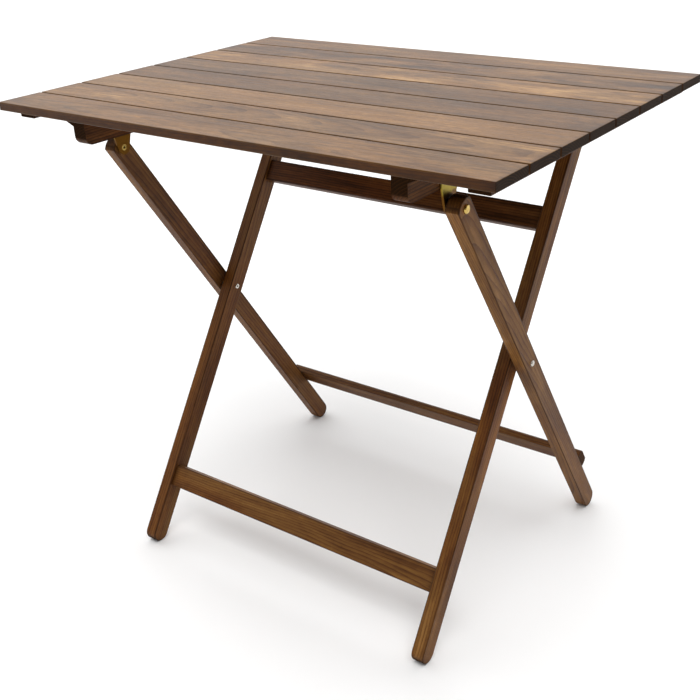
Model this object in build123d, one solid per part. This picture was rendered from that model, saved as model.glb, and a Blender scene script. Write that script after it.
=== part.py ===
"""Folding picnic table: slatted top on two scissor leg frames.

Frame: X along the slats, Y from the near long side to the far one, Z up,
origin on the floor under the middle of the top. Shown standing, unfolded.
"""
import math
import os

from build123d import *

# ---- top ----
top_length = 800
slat_count = 8
slat_width = 72
slat_gap = 3
slat_thick = 12
slat_edge = 1.2          # eased edge of every slat

# ---- leg frames ----
leg_lean = 33.2          # each leg from the vertical, degrees
leg_width = 30           # seen from the end of the table
leg_thick = 20
leg_edge = 1.5
foot_reach = 432         # scissor pivot to the centre of the rounded foot
hinge_reach = 335        # scissor pivot to the hinge of the top
crown_start = 7          # outer leg top: hinge to where the flat crown begins
crown_top = 13           # and to the middle of the crown
pivot_y = -5             # the scissor pivots sit just off the middle
inner_leg_out = 275      # outer face of the inner legs
leg_gap = 6              # between an inner and an outer leg

# ---- rails ----
rail_height = 35
rail_thick = 20
rail_edge = 2.5
low_rail_at = -333       # along the leg from the scissor pivot
high_rail_at = 205
back_rail_height = 32
back_rail_thick = 14
back_rail_at = -324
back_rail_round = 6
dowel_radius = 4
dowel_length = 28
dowel_spread = 9

# ---- under the top ----
hinge_drop = 64.2        # underside of the slats down to the hinge
batten_width = 22
batten_depth = 40
batten_half = 273        # half the length of the two thick battens
batten_nose = 12
cleat_out = 383          # outer edge of the thin cleats near the ends
cleat_width = 28
cleat_thick = 12
cleat_half = 277
pad_thick = 3.2          # bearing face of the stop block under the batten
stop_length = 27
stop_below = 6
glue_width = 23
glue_height = 14.5       # against the batten
glue_edge = 5            # at its outer edge
glue_length = 40

# ---- hinge plates, rivets, screws ----
plate_thick = 3
plate_tip = 10.5
plate_top_half = 27
plate_corner = 4
plate_gap = 1.2          # between the plate and the sweep of the inner leg
rivet_radius = 3
hinge_head = 6
pivot_head = 4.6
head_height = 2.6
tail_height = 1.4
tail_radius = 4.2
washer_radius = 8
screw_radius = 1.75
screw_head = 3.6
screw_grip = 7           # how far a screw enters a slat
plate_screw_length = 17
back_screw_length = 32
stop_screw_length = 39

# ---- clearances ----
running = 0.05           # radial, a rivet in the hole it turns in
side_play = 0.05         # between faces that slide on each other
seat_play = 0.1          # rounded leg tip in its seat

# ---- worked out ----
end_radius = leg_width / 2
slat_pitch = slat_width + slat_gap
inner_leg_in = inner_leg_out - leg_thick
outer_leg_in = inner_leg_out + leg_gap
outer_leg_out = outer_leg_in + leg_thick
lean_cos = math.cos(math.radians(leg_lean))
lean_sin = math.sin(math.radians(leg_lean))
pivot_z = foot_reach * lean_cos + end_radius
hinge_y = pivot_y - hinge_reach * lean_sin
hinge_z = pivot_z + hinge_reach * lean_cos
under_slats = hinge_z + hinge_drop
batten_bottom = under_slats - batten_depth
plate_in = inner_leg_out + plate_gap
batten_out = plate_in
batten_mid = batten_out - batten_width / 2
cleat_mid = cleat_out - cleat_width / 2
tip_z = batten_bottom - pad_thick - seat_play - end_radius
tip_reach = (tip_z - pivot_z) / lean_cos
tip_y = pivot_y + tip_reach * lean_sin

pivot = (0, pivot_y, pivot_z)
inner = Plane(origin=pivot, x_dir=(0, lean_sin, lean_cos), z_dir=(1, 0, 0))
outer = Plane(origin=pivot, x_dir=(0, -lean_sin, lean_cos), z_dir=(1, 0, 0))
side_view = Plane(origin=(0, 0, 0), x_dir=(0, 1, 0), z_dir=(1, 0, 0))


def slat_y(i):
    """Middle line of slat i, counted from the near side."""
    return (i - (slat_count - 1) / 2) * slat_pitch


def screw_y(i):
    """Screw line of slat i; the two outermost sit a little inboard."""
    inset = 9 if i in (0, slat_count - 1) else 0
    return slat_y(i) - math.copysign(inset, slat_y(i))


def along_x(radius, x_low, x_high):
    """Round bar along the local third axis, from x_low to x_high."""
    return Pos(0, 0, (x_low + x_high) / 2) * Cylinder(radius, abs(x_high - x_low))


def screw_body(length):
    """Countersunk screw, head face at 0, pointing down Z, without its recess."""
    flare = screw_head - screw_radius
    points = [(0, 0), (screw_head, 0), (screw_radius, -flare),
              (screw_radius, 3 * screw_radius - length), (0, -length)]
    return revolve(Plane.XZ * make_face(Polyline(*points, close=True)), Axis.Z)


def screw(length):
    """The screw with a cross recess in its head."""
    body = screw_body(length)
    for turn in (0, 90):
        body -= Rot(0, 0, turn) * Box(3.6, 0.8, 2.4)
    return body


def screw_room(length, sink=0):
    """Everything a screw takes out of the wood, with a sunk approach bore."""
    room = screw_body(length)
    if sink:
        room += Pos(0, 0, sink / 2) * Cylinder(screw_head + 0.9, sink)
    return room


def up_from(x, y, z):
    """Place for a screw driven upwards from the point (x, y, z)."""
    return Pos(x, y, z) * Rot(180, 0, 0)


# ---- places of the screws ----
batten_sink = batten_depth - 14
batten_screw_length = batten_depth - batten_sink + screw_grip
cleat_screw_length = cleat_thick + screw_grip
sides = (-1, 1)


def batten_screw_places(side):
    z = batten_bottom + batten_sink
    return [up_from(side * batten_mid, screw_y(i), z) for i in range(slat_count)]


def cleat_screw_places(side):
    z = under_slats - cleat_thick
    return [up_from(side * cleat_mid, screw_y(i), z) for i in range(slat_count)]


def plate_screw_places(side):
    x = side * (plate_in + plate_thick)
    spots = [(-15, hinge_drop - 11), (15, hinge_drop - 11), (0, hinge_drop - 27)]
    return [Pos(x, hinge_y + y, hinge_z + z) * Rot(0, 90 * side, 0) for y, z in spots]


def stop_screw_places(side):
    z = tip_z - stop_below
    spots = [(-4, 8), (4, 19)]
    start = tip_y + end_radius + seat_play
    return [up_from(side * batten_mid + x, start + y, z) for x, y in spots]


def back_screw_places(side):
    """Driven through the back rail into the far edge of an outer leg."""
    x = side * (outer_leg_in + leg_thick / 2)
    depth = -(end_radius + back_rail_thick)
    spots = [back_rail_at - 7, back_rail_at + 7]
    return [outer.location * Pos(s, depth, x) * Rot(90, 0, 0) for s in spots]


def cut(body, places, tool):
    for place in places:
        body -= place * tool
    return body


# ---- the top ----
def slat(i):
    body = Pos(0, slat_y(i), under_slats + slat_thick / 2) * Box(top_length, slat_width, slat_thick)
    body = fillet(body.edges(), slat_edge)
    for side in sides:
        body = cut(body, [batten_screw_places(side)[i]], screw_room(batten_screw_length))
        body = cut(body, [cleat_screw_places(side)[i]], screw_room(cleat_screw_length))
    return body


def batten(side):
    body = Pos(side * batten_mid, 0, under_slats - batten_depth / 2) * Box(
        batten_width, 2 * batten_half, batten_depth)
    ends = body.edges().filter_by(Axis.X).group_by(Axis.Z)[0]
    body = fillet(ends, batten_nose)
    body = cut(body, batten_screw_places(side), screw_room(batten_screw_length, batten_sink + 1))
    body = cut(body, plate_screw_places(side), screw_room(plate_screw_length))
    return cut(body, stop_screw_places(side), screw_room(stop_screw_length))


def cleat(side):
    body = Pos(side * cleat_mid, 0, under_slats - cleat_thick / 2) * Box(
        cleat_width, 2 * cleat_half, cleat_thick)
    body = fillet(body.edges().group_by(Axis.Z)[0], 1.5)
    return cut(body, cleat_screw_places(side), screw_room(cleat_screw_length))


def glue_block(side):
    """Tapered block glued into the corner of batten and slats."""
    x0, x1 = side * batten_out, side * (batten_out + glue_width)
    face = make_face(Polyline((x0, under_slats), (x1, under_slats),
                              (x1, under_slats - glue_edge), (x0, under_slats - glue_height),
                              close=True))
    return extrude(Plane(origin=(0, glue_length - batten_half, 0), x_dir=(1, 0, 0),
                         z_dir=(0, -1, 0)) * face, glue_length)


def stop_block(side):
    """Seat for the rounded tip of an inner leg: a thin pad, then a shoulder behind the tip."""
    seat = end_radius + seat_play
    y0, y1 = tip_y - 22, tip_y + seat + stop_length
    z0, z1 = tip_z - stop_below, batten_bottom
    body = side_view * Pos((y0 + y1) / 2, (z0 + z1) / 2) * Rectangle(y1 - y0, z1 - z0)
    y_open = (tip_y + y0 - 5) / 2
    room = side_view * Pos(tip_y, tip_z) * Circle(seat)
    room += side_view * Pos(y_open, (z0 + tip_z + seat) / 2 - 5) * Rectangle(
        tip_y - y0 + 5, tip_z + seat - z0 + 10)
    room += side_view * Pos(tip_y, tip_z - 20) * Rectangle(2 * seat, 40)
    block = extrude(body - room, batten_width / 2, both=True)
    block = Pos(side * batten_mid, 0, 0) * block
    back = block.edges().filter_by(Axis.X).sort_by(Axis.Y)[-2:].sort_by(Axis.Z)[0]
    block = fillet(back, 8)
    return cut(block, stop_screw_places(side), screw_room(stop_screw_length))


def hinge_plate(side):
    """Flat steel plate on the outer face of the batten, narrowing down to the hinge."""
    height = hinge_drop - 1
    reach = math.hypot(plate_top_half, height)
    turn = math.atan2(height, plate_top_half) - math.acos(plate_tip / reach)
    tangent = (plate_tip * math.cos(turn), plate_tip * math.sin(turn))
    face = make_face(Polyline((-plate_top_half, height), (plate_top_half, height), tangent,
                              (-tangent[0], tangent[1]), close=True))
    face = fillet(face.vertices().group_by(Axis.Y)[-1], plate_corner) + Circle(plate_tip)
    body = extrude(Plane(origin=(0, hinge_y, hinge_z), x_dir=(0, 1, 0), z_dir=(1, 0, 0)) * face,
                   plate_thick)
    body = Pos(plate_in if side > 0 else -plate_in - plate_thick, 0, 0) * body
    body = cut(body, plate_screw_places(side), screw_room(plate_screw_length))
    return body - at_hinge(side) * hinge_rivet_room()


# ---- leg frames, drawn as along the leg, across it, and along X ----
def leg(side, x_in, start, top):
    """Bar with a full round foot; its top end is an arc from start on both edges over to top."""
    x_low = x_in if side > 0 else -x_in - leg_thick
    half = end_radius
    outline = Line((-foot_reach, half), (start, half))
    outline += ThreePointArc((start, half), (top, 0), (start, -half))
    outline += Line((start, -half), (-foot_reach, -half))
    outline += ThreePointArc((-foot_reach, -half), (-foot_reach - half, 0), (-foot_reach, half))
    body = Pos(0, 0, x_low) * extrude(make_face(outline), leg_thick)
    return fillet(body.faces().filter_by(Axis.Z).edges(), leg_edge)


def outer_leg(side):
    body = leg(side, outer_leg_in, hinge_reach + crown_start, hinge_reach + crown_top)
    body -= along_x(rivet_radius, side * outer_leg_in, side * outer_leg_out)
    body -= Pos(hinge_reach, 0, 0) * along_x(rivet_radius + running, side * outer_leg_in,
                                             side * outer_leg_out)
    return cut(outer.location * body, back_screw_places(side), screw_room(back_screw_length))


def dowel_places(at, side):
    return [Pos(at + s, 0, side * inner_leg_in) for s in (-dowel_spread, dowel_spread)]


def inner_leg(side):
    body = leg(side, inner_leg_in, tip_reach, tip_reach + end_radius)
    body -= along_x(rivet_radius + running, side * inner_leg_in, side * inner_leg_out)
    for at in (low_rail_at, high_rail_at):
        body = cut(body, dowel_places(at, side), Cylinder(dowel_radius, dowel_length + 2))
    return inner.location * body


def inner_rail(at):
    body = Pos(at, 0, 0) * Box(rail_height, rail_thick, 2 * inner_leg_in)
    body = fillet(body.edges().filter_by(Axis.Z), rail_edge)
    for side in sides:
        body = cut(body, dowel_places(at, side), Cylinder(dowel_radius, dowel_length + 2))
    return inner.location * body


def dowels():
    pegs = []
    for at in (low_rail_at, high_rail_at):
        for side in sides:
            for place in dowel_places(at, side):
                pegs.append(inner.location * place * Cylinder(dowel_radius, dowel_length))
    return pegs


def back_rail():
    """Rail across the far edges of the outer legs, its back edges rounded over."""
    body = Pos(back_rail_at, -end_radius - back_rail_thick / 2, 0) * Box(
        back_rail_height, back_rail_thick, 2 * outer_leg_out)
    far = body.edges().filter_by(Axis.Z).group_by(Axis.Y)[0]
    body = outer.location * fillet(far, back_rail_round)
    for side in sides:
        body = cut(body, back_screw_places(side), screw_room(back_screw_length))
    return body


# ---- rivets and washers, drawn along +Z with the outer leg face at 0 ----
def head(radius):
    """Low domed head standing on the leg face."""
    return fillet((Pos(0, 0, head_height / 2) * Cylinder(radius, head_height)).edges().group_by(
        Axis.Z)[-1], head_height * 0.85)


def at_pivot(side):
    return Pos(side * outer_leg_out, pivot_y, pivot_z) * Rot(0, 90 * side, 0)


def at_hinge(side):
    return Pos(side * outer_leg_out, hinge_y, hinge_z) * Rot(0, 90 * side, 0)


def pivot_rivet(side):
    """Tubular rivet through both legs, rolled over on the inner face."""
    deep = outer_leg_out - inner_leg_in + side_play
    body = head(pivot_head) + along_x(rivet_radius, 0, -deep - tail_height)
    tail = Pos(0, 0, -deep - tail_height / 2) * Cylinder(tail_radius, tail_height)
    body += fillet(tail.edges().group_by(Axis.Z)[0], tail_height * 0.7)
    body -= along_x(rivet_radius * 0.55, -deep - tail_height - 1, -deep + 7)
    return at_pivot(side) * body


def hinge_flare(extra):
    """Tail of the hinge rivet, opened out flush inside the plate."""
    deep = outer_leg_out - plate_in
    wide = rivet_radius + 1.4 + extra
    return revolve(Plane.XZ * make_face(Polyline(
        (0, -deep), (wide, -deep), (rivet_radius + extra, 1.4 - deep), (0, 1.4 - deep),
        close=True)), Axis.Z)


def hinge_rivet_room():
    deep = outer_leg_out - plate_in
    return along_x(rivet_radius + running, 1 - deep, plate_thick + 1 - deep) + hinge_flare(running)


def hinge_rivet(side):
    deep = outer_leg_out - plate_in
    body = Pos(0, 0, side_play) * head(hinge_head) + along_x(rivet_radius, side_play, 1 - deep)
    body += hinge_flare(0)
    body -= along_x(rivet_radius * 0.6, -deep - 1, 8 - deep)
    return at_hinge(side) * body


def pivot_washer(side):
    body = along_x(washer_radius, -leg_thick, side_play - leg_thick - leg_gap)
    body -= along_x(rivet_radius, -leg_thick + 1, -leg_thick - leg_gap - 1)
    return at_pivot(side) * body


def hinge_washer(side):
    low = -(outer_leg_out - plate_in - plate_thick) + side_play
    body = along_x(washer_radius, -leg_thick - side_play, low)
    body -= along_x(rivet_radius, -leg_thick + 1, low - 1)
    return at_hinge(side) * body


def many(places, body):
    return [place * body for place in places]


def both_sides(places_of, length):
    return [one for side in sides for one in many(places_of(side), screw(length))]


def build():
    nodes = {f"slat_{i + 1}": slat(i) for i in range(slat_count)}
    for side, name in zip(sides, ("left", "right")):
        nodes[f"batten_{name}"] = batten(side)
        nodes[f"end_cleat_{name}"] = cleat(side)
        nodes[f"glue_block_{name}"] = glue_block(side)
        nodes[f"stop_block_{name}"] = stop_block(side)
        nodes[f"hinge_plate_{name}"] = hinge_plate(side)
        nodes[f"outer_leg_{name}"] = outer_leg(side)
        nodes[f"inner_leg_{name}"] = inner_leg(side)
        nodes[f"pivot_rivet_{name}"] = pivot_rivet(side)
        nodes[f"pivot_washer_{name}"] = pivot_washer(side)
        nodes[f"hinge_rivet_{name}"] = hinge_rivet(side)
        nodes[f"hinge_washer_{name}"] = hinge_washer(side)
    nodes["inner_low_rail"] = inner_rail(low_rail_at)
    nodes["inner_high_rail"] = inner_rail(high_rail_at)
    nodes["outer_back_rail"] = back_rail()
    nodes["rail_dowels"] = dowels()
    nodes["batten_screws"] = both_sides(batten_screw_places, batten_screw_length)
    nodes["cleat_screws"] = both_sides(cleat_screw_places, cleat_screw_length)
    nodes["plate_screws"] = both_sides(plate_screw_places, plate_screw_length)
    nodes["stop_screws"] = both_sides(stop_screw_places, stop_screw_length)
    nodes["back_rail_screws"] = both_sides(back_screw_places, back_screw_length)
    return nodes


os.makedirs("parts", exist_ok=True)
for node, body in build().items():
    solids = body if isinstance(body, list) else [body]
    solids = [one for shape in solids for one in shape.solids()]
    shape = solids[0] if len(solids) == 1 else Compound(children=solids)
    export_step(shape, f"parts/{node}.step")
    box = shape.bounding_box()
    print(f"{node:20s} {len(solids):3d} solids  z {box.min.Z:7.1f} to {box.max.Z:7.1f}")
print(f"pivot y {pivot_y:.3f} z {pivot_z:.3f}  hinge y {hinge_y:.3f} z {hinge_z:.3f}  "
      f"tip y {tip_y:.3f} z {tip_z:.3f} reach {tip_reach:.3f}  top z {under_slats + slat_thick:.3f}")
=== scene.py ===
import math
import bpy
from mathutils import Matrix, Vector


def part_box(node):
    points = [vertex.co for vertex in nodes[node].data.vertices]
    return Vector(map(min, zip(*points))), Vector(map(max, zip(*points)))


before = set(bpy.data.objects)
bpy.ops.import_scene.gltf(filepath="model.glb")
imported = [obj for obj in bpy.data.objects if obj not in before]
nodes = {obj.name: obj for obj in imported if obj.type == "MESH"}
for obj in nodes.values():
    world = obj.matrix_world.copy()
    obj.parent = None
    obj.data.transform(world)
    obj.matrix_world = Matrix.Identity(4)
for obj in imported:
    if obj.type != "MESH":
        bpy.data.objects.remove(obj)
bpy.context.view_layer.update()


easing = {"interpolation_type": "SMOOTHSTEP"}
tinting = {"data_type": "RGBA"}
multiplying = {"data_type": "RGBA", "blend_type": "MULTIPLY"}
single = {"data_type": "FLOAT"}


def hexColour(text):
    # sRGB hex to the linear numbers a shader wants
    values = [int(text[i:i + 2], 16) / 255 for i in (1, 3, 5)]
    return [v / 12.92 if v <= 0.04045 else ((v + 0.055) / 1.055) ** 2.4 for v in values] + [1.0]


def put(tree, kind, settings=None, inputs=None):
    # adds one shader node, sets it up and wires or fills its sockets
    node = tree.nodes.new(kind)
    for name, value in (settings or {}).items():
        setattr(node, name, value)
    for socket, value in (inputs or {}).items():
        if isinstance(value, bpy.types.NodeSocket):
            tree.links.new(value, node.inputs[socket])
        else:
            node.inputs[socket].default_value = value
    return node


def blank(name):
    material = bpy.data.materials.new(name)
    material.use_nodes = True
    material.node_tree.nodes.clear()
    return material, material.node_tree


def wear(node, material):
    for slot in nodes[node].material_slots:
        slot.material = material


# European beech, planed and sanded, wiped with a walnut spirit stain and a thin satin lacquer.
# The eye gets: growth rings as long flames, fine fibre streaks, short dark ray flecks, stain that
# took unevenly in soft patches, dark lines along the arrises and nearly black end grain.
beech = {
    "ringWidth": 0.0034,        # one year, metres
    "fibre": (14, 620, 620),    # cells per metre along, across and through the board: 1.6 mm streaks
    "mottle": (70, 240, 240),   # cloudy figure of 14 x 4 mm where the stain met open and closed pores
    "streak": (5, 85, 85),      # 12 mm bands a hand long
    "patch": (7, 24, 24),       # stain patches, 140 x 40 mm
    "fleck": (210, 1500, 1500),  # ray flecks 5 x 0.7 mm, drawn twice as coarse as real ones to show
    "drift": (2.2, 9, 9),       # how the rings wander
    "wander": 0.016,            # metres
    "warmth": (4.0, 16, 16),    # slow changes between olive and red brown
    "redder": (1.0, 0.78, 0.52, 1.0),  # what the reddest stretches are multiplied by
    "apart": (1.37, 0.71, 0.53),       # step in the noise from one board to the next, metres
    "waveStep": 0.31416,        # a rings texture of scale 1 repeats after this distance
    "flecks": 0.45,             # how dark the flecks are
    "relief": 0.00025,          # height of raised fibres, metres
}
noiseDetail = {  # octaves of each of them
    "fibre": 3.0, "mottle": 3.0, "streak": 4.0, "patch": 3.0, "fleck": 1.0, "drift": 2.0, "warmth": 1.0,
}
# metres below a face or an end where a finish or painted shade has gone and where it is full
finishDepth = {
    "shadedEdge": (0.0011, 0.0003), "arris": (0.0024, 0.0010), "cutEnd": (0.0008, 0.0001),
    "roundEnd": (0.0010, 0.0002), "endSides": (0.0003, 0.0011), "soak": (0.010, 0.0),
}


def stainedBeech(name, board, look):
    # board: centre, turn (grain along local X), half sizes, round ends or not; look: colours, strengths
    material, tree = blank(name)
    where = put(tree, "ShaderNodeTexCoord")
    local = put(tree, "ShaderNodeMapping", {"vector_type": "TEXTURE"}, {
        "Vector": where.outputs["Object"], "Location": board["centre"],
        "Rotation": board["turn"]}).outputs[0]
    seed = look["seed"]
    own = put(tree, "ShaderNodeVectorMath", {"operation": "ADD"}, {
        0: local, 1: [seed * step for step in beech["apart"]]}).outputs[0]

    grain = {}
    for kind, detail in noiseDetail.items():
        spot = put(tree, "ShaderNodeMapping", {}, {"Vector": own, "Scale": beech[kind]}).outputs[0]
        grain[kind] = put(tree, "ShaderNodeTexNoise", {}, {
            "Vector": spot, "Scale": 1.0, "Detail": detail, "Roughness": 0.55,
            "Distortion": 0.6 if kind == "patch" else 0.0})

    # growth rings: circles round a pith that lies off the board and slopes through it
    pushed = put(tree, "ShaderNodeVectorMath", {"operation": "MULTIPLY_ADD"}, {
        0: grain["drift"].outputs["Color"], 1: (beech["wander"],) * 3, 2: local}).outputs[0]
    pith = put(tree, "ShaderNodeMapping", {}, {
        "Vector": pushed, "Location": (0, look["pith"][0], look["pith"][1]),
        "Rotation": (0, look["slope"][0], look["slope"][1])}).outputs[0]
    rings = put(tree, "ShaderNodeTexWave", {
        "wave_type": "RINGS", "rings_direction": "X", "wave_profile": "SAW"}, {
        "Vector": pith, "Scale": beech["waveStep"] / beech["ringWidth"], "Distortion": 1.2,
        "Detail": 2.0, "Detail Scale": 0.35}).outputs["Fac"]
    late = put(tree, "ShaderNodeMath", {"operation": "POWER"}, {0: rings, 1: 3.0}).outputs[0]

    # tone of the stain, 0 dark to 1 pale
    tone = look["tone"]
    for source, usual, strength in ((grain["patch"].outputs[0], 0.5, look["patchy"]),
                                    (grain["streak"].outputs[0], 0.5, look["streaky"]),
                                    (grain["mottle"].outputs[0], 0.5, look["mottled"]),
                                    (grain["fibre"].outputs[0], 0.5, look["fibrous"]),
                                    (late, 0.25, -look["flame"])):
        centred = put(tree, "ShaderNodeMath", {"operation": "SUBTRACT"}, {0: source, 1: usual}).outputs[0]
        tone = put(tree, "ShaderNodeMath", {"operation": "MULTIPLY_ADD"}, {
            0: centred, 1: strength, 2: tone}).outputs[0]
    ramp = put(tree, "ShaderNodeValToRGB", {}, {"Fac": tone})
    stops = ramp.color_ramp.elements
    stops[0].position, stops[1].position = 0.0, 1.0
    stops[0].color, stops[1].color = hexColour(look["dark"]), hexColour(look["pale"])
    for at, colour in ((0.33, look["brown"]), (0.66, look["tan"])):
        stop = stops.new(at)
        stop.color = hexColour(colour)
    wood = ramp.outputs[0]

    # the stain drifts between olive and red brown along a board
    warmer = put(tree, "ShaderNodeMapRange", easing, {
        "Value": grain["warmth"].outputs[0], "From Min": 0.38, "From Max": 0.62,
        "To Max": look["warm"]}).outputs[0]
    wood = put(tree, "ShaderNodeMix", multiplying, {
        0: warmer, 6: wood, 7: beech["redder"]}).outputs[2]

    # ray flecks, a little darker than the wood round them
    fleck = put(tree, "ShaderNodeMapRange", easing, {
        "Value": grain["fleck"].outputs[0], "From Min": 0.60, "From Max": 0.72}).outputs[0]
    fleckShare = put(tree, "ShaderNodeMath", {"operation": "MULTIPLY"}, {
        0: fleck, 1: beech["flecks"]}).outputs[0]
    wood = put(tree, "ShaderNodeMix", tinting, {
        0: fleckShare, 6: wood, 7: hexColour(look["dark"])}).outputs[2]

    # how deep a point lies inside each pair of faces; a round end counts from its own arc
    size = put(tree, "ShaderNodeVectorMath", {"operation": "ABSOLUTE"}, {0: local}).outputs[0]
    left = put(tree, "ShaderNodeVectorMath", {"operation": "SUBTRACT"}, {
        0: board["half"], 1: size}).outputs[0]
    depth = put(tree, "ShaderNodeSeparateXYZ", {}, {0: left})
    endDepth, sideDepth, faceDepth = depth.outputs[0], depth.outputs[1], depth.outputs[2]
    if board["round"]:
        radius = board["half"][2]
        beyond = put(tree, "ShaderNodeMath", {"operation": "SUBTRACT"}, {0: radius, 1: endDepth}).outputs[0]
        forward = put(tree, "ShaderNodeMath", {"operation": "MAXIMUM"}, {0: beyond, 1: 0.0}).outputs[0]
        across = put(tree, "ShaderNodeMath", {"operation": "SUBTRACT"}, {0: radius, 1: faceDepth}).outputs[0]
        spoke = put(tree, "ShaderNodeCombineXYZ", {}, {0: forward, 1: across}).outputs[0]
        far = put(tree, "ShaderNodeVectorMath", {"operation": "LENGTH"}, {0: spoke}).outputs["Value"]
        faceDepth = put(tree, "ShaderNodeMath", {"operation": "SUBTRACT"}, {0: radius, 1: far}).outputs[0]
        facing = put(tree, "ShaderNodeMapRange", easing, {
            "Value": forward, "From Min": 0.45 * radius, "From Max": 0.9 * radius}).outputs[0]

    # painted shade: the narrow side faces of the slats are darkened by the edge colour, so the gaps between
    # them read as thin dark lines and the near edge as dimly lit
    edgeShadeMask = put(tree, "ShaderNodeMapRange", easing, {
        "Value": sideDepth, "From Min": finishDepth["shadedEdge"][0], "From Max": finishDepth["shadedEdge"][1],
        "To Max": look["edgeShadeShare"]}).outputs[0]
    wood = put(tree, "ShaderNodeMix", multiplying, {
        0: edgeShadeMask, 6: wood, 7: hexColour(look["edge"])}).outputs[2]

    # the stain builds up in dark lines along the arrises of the frame, and is rubbed thin on the slats
    corner = put(tree, "ShaderNodeMath", {"operation": "MAXIMUM"}, {0: sideDepth, 1: faceDepth}).outputs[0]
    arris = put(tree, "ShaderNodeMapRange", easing, {
        "Value": corner, "From Min": finishDepth["arris"][0], "From Max": finishDepth["arris"][1],
        "To Max": look["build"]}).outputs[0]
    handled = put(tree, "ShaderNodeMapRange", easing, {
        "Value": grain["streak"].outputs[0], "From Min": 0.25, "From Max": 0.55}).outputs[0]
    patchy = put(tree, "ShaderNodeMath", {"operation": "MULTIPLY"}, {0: arris, 1: handled}).outputs[0]
    wood = put(tree, "ShaderNodeMix", tinting, {
        0: patchy, 6: wood, 7: hexColour(look["arris"])}).outputs[2]

    # end grain drinks the stain: near black, with the rings just showing, and it soaks in a little way
    if board["round"]:
        outline = put(tree, "ShaderNodeMapRange", easing, {
            "Value": faceDepth, "From Min": finishDepth["roundEnd"][0],
            "From Max": finishDepth["roundEnd"][1]}).outputs[0]
        inside = put(tree, "ShaderNodeMapRange", easing, {
            "Value": sideDepth, "From Min": finishDepth["endSides"][0],
            "From Max": finishDepth["endSides"][1]}).outputs[0]
        cutEnd = put(tree, "ShaderNodeMath", {"operation": "MULTIPLY"}, {0: outline, 1: inside}).outputs[0]
        cutEnd = put(tree, "ShaderNodeMath", {"operation": "MULTIPLY"}, {0: cutEnd, 1: facing}).outputs[0]
    else:
        cutEnd = put(tree, "ShaderNodeMapRange", easing, {
            "Value": endDepth, "From Min": finishDepth["cutEnd"][0],
            "From Max": finishDepth["cutEnd"][1]}).outputs[0]
    endWood = put(tree, "ShaderNodeMix", tinting, {
        0: late, 6: hexColour(look["end"]), 7: hexColour(look["endRing"])}).outputs[2]
    soak = put(tree, "ShaderNodeMapRange", easing, {
        "Value": endDepth, "From Min": finishDepth["soak"][0], "From Max": finishDepth["soak"][1],
        "To Max": look["soak"]}).outputs[0]
    ends = put(tree, "ShaderNodeMath", {"operation": "MAXIMUM"}, {0: cutEnd, 1: soak}).outputs[0]
    wood = put(tree, "ShaderNodeMix", tinting, {0: ends, 6: wood, 7: endWood}).outputs[2]

    # satin lacquer: sheen varies with the fibres, end grain stays dull
    dull = put(tree, "ShaderNodeMapRange", {}, {
        "Value": grain["fibre"].outputs[0], "From Min": 0.3, "From Max": 0.7,
        "To Min": look["rough"] - 0.05, "To Max": look["rough"] + 0.09}).outputs[0]
    dull = put(tree, "ShaderNodeMix", single, {0: cutEnd, 2: dull, 3: 0.85}).outputs[0]
    relief = put(tree, "ShaderNodeMath", {"operation": "MULTIPLY_ADD"}, {
        0: fleck, 1: -0.6, 2: grain["fibre"].outputs[0]}).outputs[0]
    relief = put(tree, "ShaderNodeMath", {"operation": "MULTIPLY_ADD"}, {
        0: late, 1: 0.35, 2: relief}).outputs[0]
    bump = put(tree, "ShaderNodeBump", {}, {
        "Height": relief, "Strength": 0.5, "Distance": beech["relief"]}).outputs[0]
    shader = put(tree, "ShaderNodeBsdfPrincipled", {}, {
        "Base Color": wood, "Roughness": dull, "Normal": bump, "Specular IOR Level": look["sheen"]})
    put(tree, "ShaderNodeOutputMaterial", {}, {"Surface": shader.outputs[0]})
    return material


lean = math.radians(33.2)  # how far both leg frames lean from upright


def lying(node, way):
    # centre and half sizes of a level board from its box, and the turn that puts its grain on local X
    low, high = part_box(node)
    centre = (low + high) / 2
    half = (high - low) / 2
    if way == "Y":
        half = (half.y, half.x, half.z)
        return {"centre": centre, "turn": (0, 0, math.pi / 2), "half": half, "round": False}
    return {"centre": centre, "turn": (0, 0, 0), "half": half, "round": False}


def leaning(node, tilt, size, alongX=False):
    # a leg or rail in a leg frame that leans by tilt in the YZ plane; size is length, thickness, width
    low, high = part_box(node)
    centre = (low + high) / 2
    half = [v / 2 for v in size]
    if alongX:
        return {"centre": centre, "turn": (tilt, 0, 0), "half": half, "round": False}
    return {"centre": centre, "turn": (0, tilt - math.pi / 2, -math.pi / 2), "half": half, "round": True}


# the edge colour and edgeShadeShare paint shade on the slats' narrow side faces
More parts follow.
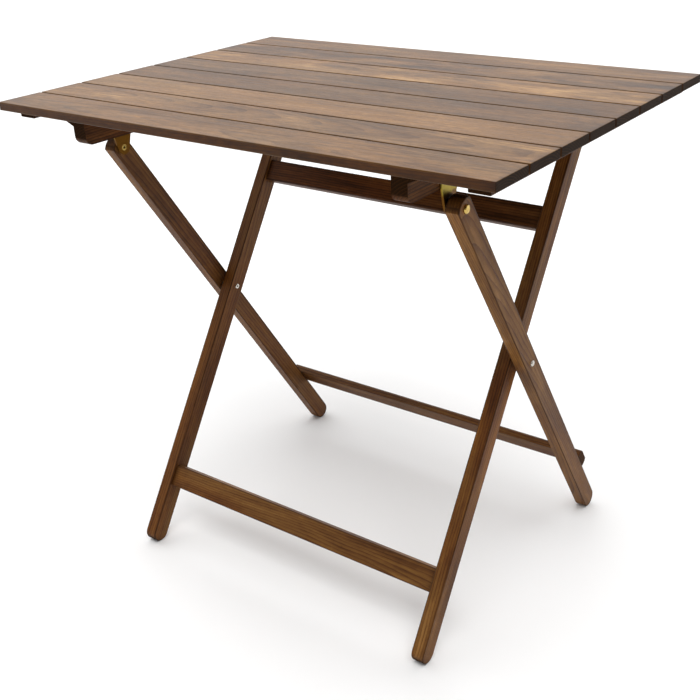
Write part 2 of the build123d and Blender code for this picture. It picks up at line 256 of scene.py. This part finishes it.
topStain = {"dark": "#342010", "brown": "#5f4122", "tan": "#846036", "pale": "#b48d58",
            "arris": "#6e5028", "build": 0.3, "edge": "#9d8248", "edgeShadeShare": 1.0, "end": "#1c0f04",
            "endRing": "#34200c", "soak": 0.3, "rough": 0.42, "sheen": 0.18, "fibrous": 0.42,
            "mottled": 0.55, "warm": 0.25}
slats = {  # near to far; pith: metres from it to the board's middle, across and through; slope: radians
    "slat_1": {"tone": 0.44, "patchy": 0.75, "streaky": 0.55, "flame": 0.20,
               "pith": (0.006, 0.050), "slope": (0.030, 0.012), "seed": 1},
    "slat_2": {"tone": 0.47, "patchy": 0.95, "streaky": 0.60, "flame": 0.22,
               "pith": (-0.010, 0.034), "slope": (-0.050, 0.020), "seed": 2},
    "slat_3": {"tone": 0.56, "patchy": 0.60, "streaky": 0.45, "flame": 0.12,
               "pith": (0.040, 0.060), "slope": (0.015, -0.010), "seed": 3},
    "slat_4": {"tone": 0.32, "patchy": 0.60, "streaky": 0.50, "flame": 0.12,
               "pith": (-0.050, 0.045), "slope": (0.020, 0.018), "seed": 4},
    "slat_5": {"tone": 0.30, "patchy": 0.70, "streaky": 0.45, "flame": 0.10,
               "pith": (0.030, 0.080), "slope": (-0.020, 0.010), "seed": 5},
    "slat_6": {"tone": 0.58, "patchy": 1.50, "streaky": 0.60, "flame": 0.12,
               "pith": (-0.014, 0.048), "slope": (0.045, -0.020), "seed": 6},
    "slat_7": {"tone": 0.32, "patchy": 1.60, "streaky": 0.60, "flame": 0.14,
               "pith": (0.018, 0.040), "slope": (-0.035, 0.022), "seed": 7},
    "slat_8": {"tone": 0.42, "patchy": 0.80, "streaky": 0.50, "flame": 0.14,
               "pith": (-0.030, 0.055), "slope": (0.018, 0.014), "seed": 8},
}
for node, look in slats.items():
    wear(node, stainedBeech("stained beech " + node, lying(node, "X"), {**topStain, **look}))
print("top slats finished")

frameStain = {"dark": "#2f1806", "brown": "#573518", "tan": "#765026", "pale": "#956b3a",
              "arris": "#331b07", "build": 0.8, "edge": "#ffffff", "edgeShadeShare": 0.0, "end": "#241407",
              "endRing": "#3f2711", "soak": 0.35, "rough": 0.46, "sheen": 0.12, "fibrous": 0.42,
              "mottled": 0.30, "warm": 0.55, "tone": 0.5, "patchy": 0.5, "streaky": 0.95, "flame": 0.34,
              "pith": (0.03, 0.03), "slope": (0.02, 0.03)}
legSize = {"outer": (0.795, 0.020, 0.030), "inner": (0.804, 0.020, 0.030)}  # length, thickness, width
innerRailSize = (0.510, 0.020, 0.035)
backRailSize = (0.602, 0.014, 0.032)
frames = {
    "outer_leg_left": {"tone": 0.44, "seed": 11, "warm": 0.5},
    "outer_leg_right": {"tone": 0.54, "seed": 12, "warm": 0.35, "patchy": 0.9, "slope": (0.06, 0.08)},
    "inner_leg_left": {"tone": 0.45, "seed": 13, "warm": 0.7},
    "inner_leg_right": {"tone": 0.46, "seed": 14, "warm": 0.8, "patchy": 0.9},
}
for node, look in frames.items():
    kind = node.split("_")[0]
    tilt = lean if kind == "outer" else -lean
    board = leaning(node, tilt, legSize[kind])
    wear(node, stainedBeech("stained beech " + node, board, {**frameStain, **look}))
rails = {
    "inner_low_rail": {"tilt": -lean, "size": innerRailSize, "tone": 0.45, "seed": 21, "warm": 0.7,
                       "patchy": 0.9, "slope": (0.06, 0.05)},
    # painted shade: the low tone darkens this rail, which lies in shade under the top
    "inner_high_rail": {"tilt": -lean, "size": innerRailSize, "tone": 0.17, "seed": 22, "warm": 0.8},
    "outer_back_rail": {"tilt": lean, "size": backRailSize, "tone": 0.38, "seed": 23,
                        "end": "#3a2210", "endRing": "#4b2d16"},
}
for node, look in rails.items():
    board = leaning(node, look["tilt"], look["size"], alongX=True)
    wear(node, stainedBeech("stained beech " + node, board, {**frameStain, **look}))
# painted shade: the darker end colours here and the low tones below darken the battens, cleats and blocks
# that lie in shade under the top
underStainAndShade = {**frameStain, "end": "#241304", "endRing": "#382009", "soak": 0.2, "sheen": 0.06}
shadedUnder = {
    "batten_left": {"tone": 0.15, "seed": 31, "warm": 0.9},
    "batten_right": {"tone": 0.17, "seed": 32, "warm": 0.9},
    "end_cleat_left": {"tone": 0.20, "seed": 33}, "end_cleat_right": {"tone": 0.20, "seed": 34},
    "stop_block_left": {"tone": 0.26, "seed": 35}, "stop_block_right": {"tone": 0.26, "seed": 36},
    "glue_block_left": {"tone": 0.18, "seed": 37}, "glue_block_right": {"tone": 0.18, "seed": 38},
}
for node, look in shadedUnder.items():
    wear(node, stainedBeech("stained beech " + node, lying(node, "Y"), {**underStainAndShade, **look}))
print("legs, rails and battens finished")


def platedSteel(name, look):
    # base metal colour clouded by a second tint, with fine rub marks and scattered dulled spots
    material, tree = blank(name)
    where = put(tree, "ShaderNodeTexCoord").outputs["Object"]
    cloud = put(tree, "ShaderNodeTexNoise", {}, {
        "Vector": where, "Scale": look["cloud"], "Detail": 3.0}).outputs[0]
    share = put(tree, "ShaderNodeMapRange", {}, {
        "Value": cloud, "From Min": 0.35, "From Max": 0.65}).outputs[0]
    tint = put(tree, "ShaderNodeMix", tinting, {
        0: share, 6: hexColour(look["colour"]), 7: hexColour(look["tint"])}).outputs[2]
    if "shadeAndReflection" in look:
        # painted reflection and painted shade: brown on the plate's side towards the middle, where it mirrors
        # the wood, and low down round the rivet, where it lies in shade
        shadeAndReflection = look["shadeAndReflection"]
        spot = put(tree, "ShaderNodeSeparateXYZ", {}, {0: where})
        out = put(tree, "ShaderNodeMath", {"operation": "ABSOLUTE"}, {0: spot.outputs[0]}).outputs[0]
        inner = put(tree, "ShaderNodeMapRange", easing, {
            "Value": out, "From Min": shadeAndReflection["side"] + shadeAndReflection["soft"], "From Max": shadeAndReflection["side"]}).outputs[0]
        level = put(tree, "ShaderNodeMath", {"operation": "MULTIPLY_ADD"}, {
            0: cloud, 1: shadeAndReflection["ragged"], 2: spot.outputs[2]}).outputs[0]
        low = put(tree, "ShaderNodeMapRange", easing, {
            "Value": level, "From Min": shadeAndReflection["clear"], "From Max": shadeAndReflection["full"]}).outputs[0]
        shadedShare = put(tree, "ShaderNodeMath", {"operation": "MAXIMUM"}, {0: inner, 1: low}).outputs[0]
        tint = put(tree, "ShaderNodeMix", tinting, {
            0: shadedShare, 6: tint, 7: hexColour(shadeAndReflection["colour"])}).outputs[2]
    stretched = put(tree, "ShaderNodeMapping", {}, {"Vector": where, "Scale": (2500, 260, 2500)}).outputs[0]
    rub = put(tree, "ShaderNodeTexNoise", {}, {"Vector": stretched, "Scale": 1.0, "Detail": 2.0}).outputs[0]
    spots = put(tree, "ShaderNodeTexNoise", {}, {"Vector": where, "Scale": 900.0, "Detail": 2.0}).outputs[0]
    mixed = put(tree, "ShaderNodeMath", {"operation": "MULTIPLY"}, {0: rub, 1: spots}).outputs[0]
    rough = put(tree, "ShaderNodeMapRange", {}, {
        "Value": mixed, "From Min": 0.12, "From Max": 0.4, "To Min": look["rough"][0],
        "To Max": look["rough"][1]}).outputs[0]
    bump = put(tree, "ShaderNodeBump", {}, {"Height": mixed, "Strength": 0.25, "Distance": 0.0001}).outputs[0]
    shader = put(tree, "ShaderNodeBsdfPrincipled", {}, {
        "Base Color": tint, "Metallic": 1.0, "Roughness": rough, "Normal": bump})
    put(tree, "ShaderNodeOutputMaterial", {}, {"Surface": shader.outputs[0]})
    return material


# stamped sheet steel in yellow zinc passivate: olive gold with faint green clouds, brown where painted shade
# and a painted reflection of the wood lie on it
plateInside = min(abs(corner[0]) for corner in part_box("hinge_plate_right"))
yellowZinc = platedSteel("yellow zinc plated steel", {
    "colour": "#94802c", "tint": "#7a6a26", "cloud": 90.0, "rough": (0.28, 0.5),
    "shadeAndReflection": {  # metres: all of it inside of side and below full, none above clear, wandering by ragged
        "side": plateInside + 0.0006, "soft": 0.0012, "full": 0.677, "clear": 0.683, "ragged": 0.012,
        "colour": "#5c3c0e"}})
# brass plated dome of the hinge rivets: polished, warm gold
brassPlate = platedSteel("brass plated steel", {
    "colour": "#cdb268", "tint": "#a88a46", "cloud": 220.0, "rough": (0.14, 0.32)})
# nickel plated pivot rivets: bright, slightly warm grey
nickelPlate = platedSteel("nickel plated steel", {
    "colour": "#d2cdc4", "tint": "#b3ada3", "cloud": 260.0, "rough": (0.16, 0.34)})
# bright zinc washers and screws: cool grey spangle, duller
brightZinc = platedSteel("bright zinc plated steel", {
    "colour": "#b4b9bc", "tint": "#8f979c", "cloud": 420.0, "rough": (0.3, 0.5)})
metalPieces = {
    "hinge_plate": yellowZinc, "hinge_rivet": brassPlate, "pivot_rivet": nickelPlate,
    "pivot_washer": brightZinc, "hinge_washer": brightZinc,
}
for kind, material in metalPieces.items():
    for side in ("left", "right"):
        wear(f"{kind}_{side}", material)
for node in ("batten_screws", "cleat_screws", "plate_screws", "stop_screws", "back_rail_screws"):
    wear(node, brightZinc)

# turned beech dowels, left raw: pale straw brown
rawDowel = {**frameStain, "dark": "#8a6238", "brown": "#a87c4c", "tan": "#bd9160", "pale": "#d0a878",
            "build": 0.0, "end": "#8a6238", "endRing": "#6f4d2b", "rough": 0.6, "patchy": 0.3,
            "streaky": 0.5, "flame": 0.2, "pith": (0.02, 0.03), "slope": (0.0, 0.0), "seed": 41}
wear("rail_dowels", stainedBeech("raw beech dowel", lying("rail_dowels", "X"), rawDowel))
print("fastenings finished")

studio = {
    "floor": "#f2f2f2", "floorReach": 30.0,
    "backdrop": "#ffffff", "bright": 1.85, "dim": 0.12,
    "towards": (-0.68, 0.72, 0.12),  # the wall behind the table glows
    "low": 0.55, "high": 1.05,       # and fades down to the floor
    "plain": 0.97,                   # how bright the room is when it is looked at directly
    "lamp": {"from": (0.26, -0.30, 0.95), "spread": 50.0, "strength": 1.75, "colour": "#ffffff"},
}
floorMesh = bpy.data.meshes.new("studioFloor")
reach = studio["floorReach"]
corners = [(-reach, -reach, 0), (reach, -reach, 0), (reach, reach, 0), (-reach, reach, 0)]
floorMesh.from_pydata(corners, [], [(0, 1, 2, 3)])
floor = bpy.data.objects.new("studioFloor", floorMesh)
bpy.context.scene.collection.objects.link(floor)
paper, tree = blank("matt studio paper")
tooth = put(tree, "ShaderNodeTexNoise", {}, {
    "Vector": put(tree, "ShaderNodeTexCoord").outputs["Object"], "Scale": 60.0, "Detail": 3.0}).outputs[0]
matt = put(tree, "ShaderNodeMapRange", {}, {"Value": tooth, "To Min": 0.85, "To Max": 0.98}).outputs[0]
sheet = put(tree, "ShaderNodeBsdfPrincipled", {}, {
    "Base Color": hexColour(studio["floor"]), "Roughness": matt, "Specular IOR Level": 0.1})
put(tree, "ShaderNodeOutputMaterial", {}, {"Surface": sheet.outputs[0]})
floorMesh.materials.append(paper)

world = bpy.data.worlds.new("studio")
bpy.context.scene.world = world
world.use_nodes = True
tree = world.node_tree
way = Vector(studio["towards"]).normalized()
gaze = put(tree, "ShaderNodeTexCoord").outputs["Generated"]
behind = put(tree, "ShaderNodeVectorMath", {"operation": "DOT_PRODUCT"}, {0: gaze, 1: way}).outputs["Value"]
glow = put(tree, "ShaderNodeMapRange", easing, {
    "Value": behind, "From Min": -0.5, "From Max": 0.8,
    "To Min": studio["dim"], "To Max": studio["bright"]}).outputs[0]
gazeHeight = put(tree, "ShaderNodeSeparateXYZ", {}, {0: gaze}).outputs[2]
fade = put(tree, "ShaderNodeMapRange", {}, {
    "Value": gazeHeight, "From Max": 0.5, "To Min": studio["low"], "To Max": studio["high"]}).outputs[0]
glow = put(tree, "ShaderNodeMath", {"operation": "MULTIPLY"}, {0: glow, 1: fade}).outputs[0]
seen = put(tree, "ShaderNodeLightPath").outputs["Is Camera Ray"]
glow = put(tree, "ShaderNodeMix", single, {0: seen, 2: glow, 3: studio["plain"]}).outputs[0]
backdrop = tree.nodes["Background"]
backdrop.inputs[0].default_value = hexColour(studio["backdrop"])
tree.links.new(glow, backdrop.inputs[1])

plan = studio["lamp"]
lamp = bpy.data.lights.new("softKey", "SUN")
lamp.energy, lamp.angle = plan["strength"], math.radians(plan["spread"])
lamp.color = hexColour(plan["colour"])[:3]
key = bpy.data.objects.new("softKey", lamp)
bpy.context.scene.collection.objects.link(key)
key.rotation_euler = (-Vector(plan["from"])).to_track_quat("-Z", "Y").to_euler()

camera = {  # metres and degrees: stands right of the near side, looking down on the top
    "at": (0.88676, -1.18290, 1.04044), "azimuth": 36.153, "elevation": 25.217, "roll": -2.156,
    "lens": 53.22, "shift": (-0.03286, -0.02143),
}
lens = bpy.data.cameras.new("camera")
lens.lens, lens.sensor_width = camera["lens"], 36.0
lens.shift_x, lens.shift_y = camera["shift"]
eye = bpy.data.objects.new("camera", lens)
bpy.context.scene.collection.objects.link(eye)
turn, rise, roll = (math.radians(camera[k]) for k in ("azimuth", "elevation", "roll"))
ahead = Vector((-math.sin(turn) * math.cos(rise), math.cos(turn) * math.cos(rise), -math.sin(rise)))
right = ahead.cross(Vector((0, 0, 1))).normalized()
up = right.cross(ahead)
levelRight = math.cos(roll) * right + math.sin(roll) * up
levelUp = -math.sin(roll) * right + math.cos(roll) * up
aimed = Matrix((levelRight, levelUp, -ahead)).transposed().to_4x4()
eye.matrix_world = Matrix.Translation(camera["at"]) @ aimed
bpy.context.scene.camera = eye
bpy.context.scene.view_settings.view_transform = "Standard"
print("studio finished")
